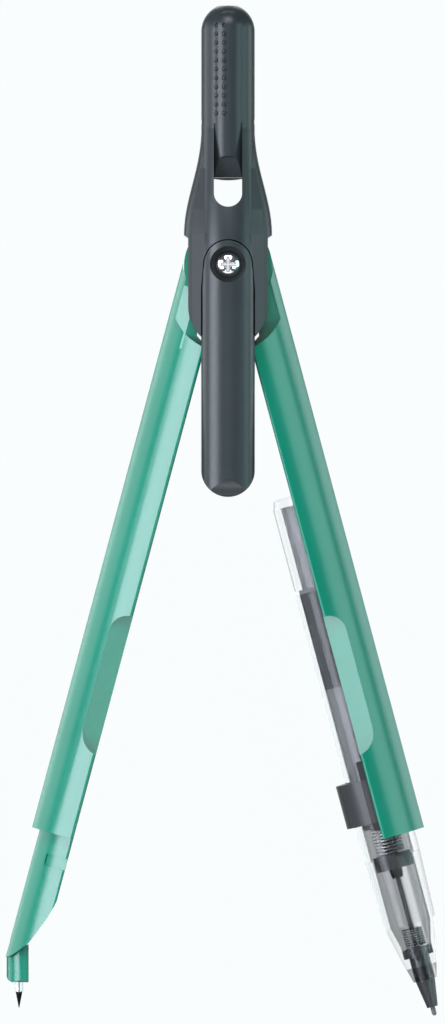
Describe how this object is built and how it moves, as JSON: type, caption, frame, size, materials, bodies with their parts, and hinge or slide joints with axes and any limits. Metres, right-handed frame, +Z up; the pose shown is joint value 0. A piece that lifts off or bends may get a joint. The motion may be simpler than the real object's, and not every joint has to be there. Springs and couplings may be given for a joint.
{
  "type": "drafting compass",
  "caption": "Drafting compass: round dotted grip, forked hinge head, half-round legs that turn on friction, steel needle foot and a clear propelling pencil in a ring.",
  "frame": {"origin": "on the hinge axis, at the flat rear face of the forked head", "axes": "+Z up along the grip, from the points to the grip's top; +Y out of the back of the head, along the hinge axis, so the front with the screw faces -Y; +X toward the pencil leg"},
  "size_m": [0.063, 0.0155, 0.147],
  "materials": {
    "handle_black": "satin moulded plastic with raised grip dots",
    "bar_black": "satin moulded plastic",
    "screw_chrome": "bright nickel plate",
    "sleeve_steel": "turned steel",
    "insert_brass": "knurled brass",
    "washer_nylon": "plain nylon",
    "needle_leg_green": "gloss coloured plastic",
    "pencil_leg_green": "gloss coloured plastic",
    "foot_green": "gloss coloured plastic",
    "needle_steel": "hardened steel, blackened point",
    "clip_grey": "fine matt plastic",
    "barrel_clear": "clear plastic",
    "nose_clear": "clear plastic",
    "cap_frost": "frosted clear plastic",
    "core_grey": "grey plastic",
    "sleeve_black": "black plastic",
    "reservoir_grey": "grey plastic",
    "spring_steel": "bright spring wire",
    "seat_black": "black plastic",
    "chuck_brass": "turned brass",
    "tip_spring_steel": "dark spring wire",
    "tip_metal": "dark plated guide",
    "lead_graphite": "graphite"
  },
  "bodies": {
    "head": {"handle": "handle_black", "front_bar": "bar_black", "pivot_screw": "screw_chrome", "pivot_sleeve": "sleeve_steel", "brass_insert": "insert_brass", "friction_washers": "washer_nylon"},
    "needle_leg": {"needle_leg_shell": "needle_leg_green", "needle_foot": "foot_green", "needle": "needle_steel"},
    "pencil_leg": {"pencil_leg_shell": "pencil_leg_green", "pencil_clip": "clip_grey"},
    "pencil": {"pencil_barrel": "barrel_clear", "nose_shell": "nose_clear", "spring_seat": "seat_black", "tip_spring": "tip_spring_steel", "nose_tip": "tip_metal"},
    "plunger": {"push_cap": "cap_frost", "cap_core": "core_grey", "inner_sleeve": "sleeve_black", "lead_reservoir": "reservoir_grey", "chuck": "chuck_brass", "lead": "lead_graphite", "feed_spring": "spring_steel"}
  },
  "joints": [
    {"name": "needle_leg_hinge", "type": "hinge", "parent": "head", "child": "needle_leg", "pos_m": [0, -0.005, 0], "axis": [0, 1, 0], "range_deg": [-14.25, 25]},
    {"name": "pencil_leg_hinge", "type": "hinge", "parent": "head", "child": "pencil_leg", "pos_m": [0, -0.005, 0], "axis": [0, -1, 0], "range_deg": [-14.25, 25]},
    {"name": "pencil_slide", "type": "slide", "parent": "pencil_leg", "child": "pencil", "axis": [0.2588, 0, -0.9659], "range_m": [0, 0.045]},
    {"name": "push_cap_press", "type": "slide", "parent": "pencil", "child": "plunger", "axis": [0.2588, 0, -0.9659], "range_m": [0, 0.00055], "stiffness_N_per_m": 900, "springref_m": -0.0008, "deforming": ["feed_spring"]}
  ]
}
